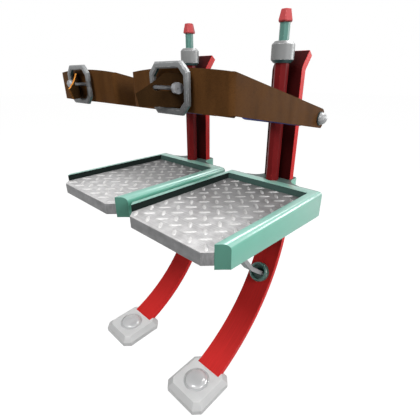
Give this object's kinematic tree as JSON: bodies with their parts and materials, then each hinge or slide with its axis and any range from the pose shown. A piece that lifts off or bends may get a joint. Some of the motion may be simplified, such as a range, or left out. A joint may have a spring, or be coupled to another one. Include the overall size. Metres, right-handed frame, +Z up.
{
  "type": "jumping stilts",
  "caption": "Jumping stilts for both feet: a diamond-plate deck in a side frame, a damper post and back bar, a bowed leaf spring with a foot and link arm, and a buckled calf strap.",
  "frame": {"origin": "midway between the two treads' middles, at the height of the tread tops that the soles rest on", "axes": "+Z up along the damper posts, toes towards -Y, the wearer's left stilt at +X"},
  "size_m": [0.489, 0.3739, 0.7519],
  "materials": {
    "frame": "satin sea-green enamel on cast alloy",
    "tread": "rolled diamond plate",
    "spring": "red fibre laminate",
    "tube": "satin red paint",
    "cap": "matt",
    "rod": "satin",
    "alloy": "satin",
    "foot": "hard moulding, satin",
    "leather": "smooth brown",
    "pad": "padded cover",
    "steel": "bright"
  },
  "bodies": {
    "frames": {"left_deck_frame": "frame", "left_tread_plate": "tread", "left_damper_tube": "tube", "left_damper_collar": "alloy", "left_damper_spring": "steel", "left_back_bar": "spring", "left_leaf_pin": "steel", "left_link_guide": "frame", "left_guide_screw_inner": "steel", "left_guide_screw_outer": "steel", "left_cuff_yoke": "frame", "left_calf_pad": "pad", "left_strap_bolt_inner": "alloy", "left_strap_bolt_outer": "alloy", "right_deck_frame": "frame", "right_tread_plate": "tread", "right_damper_tube": "tube", "right_damper_collar": "alloy", "right_damper_spring": "steel", "right_back_bar": "spring", "right_leaf_pin": "steel", "right_link_guide": "frame", "right_guide_screw_inner": "steel", "right_guide_screw_outer": "steel", "right_cuff_yoke": "frame", "right_calf_pad": "pad", "right_strap_bolt_inner": "alloy", "right_strap_bolt_outer": "alloy"},
    "left_leaf": {"left_leaf_spring": "spring", "left_foot_block": "foot", "left_foot_stud": "foot", "left_link_cup": "frame", "left_cup_nut": "steel", "left_link_lower_pin": "steel"},
    "left_link": {"left_link_arm": "alloy", "left_link_upper_pin": "steel"},
    "left_rod": {"left_damper_rod": "rod", "left_rod_cap": "cap"},
    "left_strap": {"left_strap_band": "leather", "left_strap_end": "leather", "left_buckle_frame": "alloy"},
    "left_prong": {"left_buckle_prong": "steel"},
    "right_leaf": {"right_leaf_spring": "spring", "right_foot_block": "foot", "right_foot_stud": "foot", "right_link_cup": "frame", "right_cup_nut": "steel", "right_link_lower_pin": "steel"},
    "right_link": {"right_link_arm": "alloy", "right_link_upper_pin": "steel"},
    "right_rod": {"right_damper_rod": "rod", "right_rod_cap": "cap"},
    "right_strap": {"right_strap_band": "leather", "right_strap_end": "leather", "right_buckle_frame": "alloy"},
    "right_prong": {"right_buckle_prong": "steel"}
  },
  "joints": [
    {"name": "left_rod_slide", "type": "slide", "parent": "frames", "child": "left_rod", "axis": [0, 0, 1], "range_m": [-0.028, 0], "stiffness_N_per_m": 2000, "springref_m": 0.01, "deforming": ["left_damper_spring"]},
    {"name": "left_leaf_flex", "type": "hinge", "parent": "frames", "child": "left_leaf", "pos_m": [0.1275, 0.2073, -0.03], "axis": [1, 0, 0], "range_deg": [-10, 0], "stiffness_Nm_per_rad": 800},
    {"name": "left_link_swing", "type": "hinge", "parent": "left_leaf", "child": "left_link", "pos_m": [0.1275, 0.14675, -0.22345], "axis": [1, 0, 0], "range_deg": [0, 14.61]},
    {"name": "left_strap_swing", "type": "hinge", "parent": "frames", "child": "left_strap", "pos_m": [0.1275, 0.145, 0.153], "axis": [1, 0, 0], "range_deg": [-30, 25]},
    {"name": "left_prong_swing", "type": "hinge", "parent": "left_strap", "child": "left_prong", "pos_m": [0.09475, -0.1111, 0.208], "axis": [0, 0, -1], "range_deg": [0, 10]},
    {"name": "right_rod_slide", "type": "slide", "parent": "frames", "child": "right_rod", "axis": [0, 0, 1], "range_m": [-0.028, 0], "stiffness_N_per_m": 2000, "springref_m": 0.01, "deforming": ["right_damper_spring"]},
    {"name": "right_leaf_flex", "type": "hinge", "parent": "frames", "child": "right_leaf", "pos_m": [-0.1275, 0.2073, -0.03], "axis": [1, 0, 0], "range_deg": [-10, 0], "stiffness_Nm_per_rad": 800},
    {"name": "right_link_swing", "type": "hinge", "parent": "right_leaf", "child": "right_link", "pos_m": [-0.1275, 0.14675, -0.22345], "axis": [1, 0, 0], "range_deg": [0, 14.61]},
    {"name": "right_strap_swing", "type": "hinge", "parent": "frames", "child": "right_strap", "pos_m": [-0.1275, 0.145, 0.153], "axis": [1, 0, 0], "range_deg": [-30, 25]},
    {"name": "right_prong_swing", "type": "hinge", "parent": "right_strap", "child": "right_prong", "pos_m": [-0.09475, -0.1111, 0.208], "axis": [0, 0, 1], "range_deg": [0, 10]}
  ],
  "couplings": [
    {"joint": "left_link_swing", "follows": "left_leaf_flex", "ratio": -1.4606},
    {"joint": "right_link_swing", "follows": "right_leaf_flex", "ratio": -1.4606}
  ]
}
